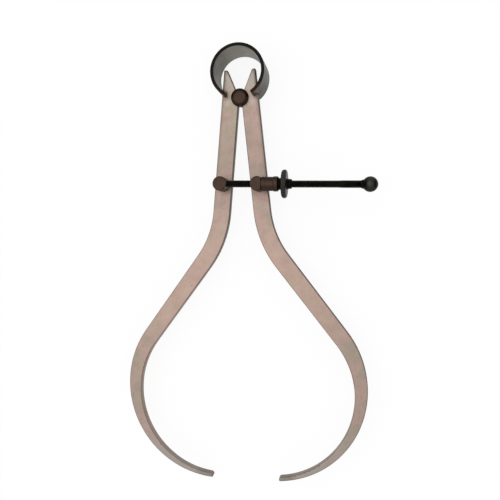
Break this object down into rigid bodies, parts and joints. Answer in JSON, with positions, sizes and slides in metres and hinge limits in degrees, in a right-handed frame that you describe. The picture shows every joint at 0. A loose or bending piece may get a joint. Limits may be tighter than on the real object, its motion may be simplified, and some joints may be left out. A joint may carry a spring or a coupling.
{
  "type": "outside caliper",
  "caption": "Spring-bow outside caliper with two bowed flat legs on a fulcrum stud, a C-shaped bow spring and a knurled nut on a cross screw that sets the opening.",
  "frame": {"origin": "on the fulcrum's axis, at the flat back face of the fulcrum stud and its washer", "axes": "+X across the legs towards the ball of the screw, +Y from the contact tips towards the bow spring, +Z out of the front face, towards the posts and the screw"},
  "size_m": [0.1021, 0.1735, 0.0186],
  "materials": {
    "leg_steel": "satin ground steel, warm grey, fine grain along the legs",
    "blued_spring_steel": "tempered dark blued spring steel, satin",
    "oxide_steel": "brown-black oxide, satin",
    "black_screw_steel": "black oxide, slightly oily"
  },
  "bodies": {
    "left_leg": {"left_leg": "leg_steel"},
    "right_leg": {"right_leg": "leg_steel"},
    "fulcrum": {"fulcrum_stud": "oxide_steel", "fulcrum_washer": "oxide_steel"},
    "spring": {"bow_spring": "blued_spring_steel"},
    "screw": {"anchor_post": "oxide_steel", "anchor_washer": "oxide_steel", "anchor_pin": "oxide_steel", "adjusting_screw": "black_screw_steel", "screw_ball": "black_screw_steel"},
    "guide": {"guide_post": "oxide_steel", "guide_washer": "oxide_steel", "thrust_collar": "oxide_steel"},
    "nut": {"adjusting_nut": "black_screw_steel"}
  },
  "joints": [
    {"name": "leg_opening", "type": "hinge", "parent": "left_leg", "child": "right_leg", "pos_m": [0, 0, 0], "axis": [0, 0, 1], "range_deg": [-10.1, 42]},
    {"name": "fulcrum_turn", "type": "hinge", "parent": "left_leg", "child": "fulcrum", "pos_m": [0, 0, 0], "axis": [0, 0, 1], "range_deg": [-5.1, 21.05]},
    {"name": "spring_rise", "type": "slide", "parent": "fulcrum", "child": "spring", "axis": [0, 1, 0], "range_m": [-0.00086, 0.00354]},
    {"name": "anchor_swivel", "type": "hinge", "parent": "left_leg", "child": "screw", "pos_m": [-0.00735, -0.03456, 0], "axis": [0, 0, 1], "range_deg": [-5.45, 22.55]},
    {"name": "guide_swivel", "type": "hinge", "parent": "right_leg", "child": "guide", "pos_m": [0.00739, -0.03504, 0], "axis": [0, 0, 1], "range_deg": [-19.6, 4.75]},
    {"name": "nut_turn", "type": "hinge", "parent": "guide", "child": "nut", "pos_m": [0.00739, -0.03504, 0.00935], "axis": [0.9994, -0.0344, 0], "range_deg": [-4004, 16557]}
  ],
  "couplings": [
    {"joint": "fulcrum_turn", "follows": "leg_opening", "ratio": 0.5},
    {"joint": "spring_rise", "follows": "leg_opening", "m_per_rad": 0.0048},
    {"joint": "anchor_swivel", "follows": "leg_opening", "ratio": 0.535},
    {"joint": "guide_swivel", "follows": "leg_opening", "ratio": -0.465},
    {"joint": "nut_turn", "follows": "leg_opening", "ratio": 393.5}
  ]
}
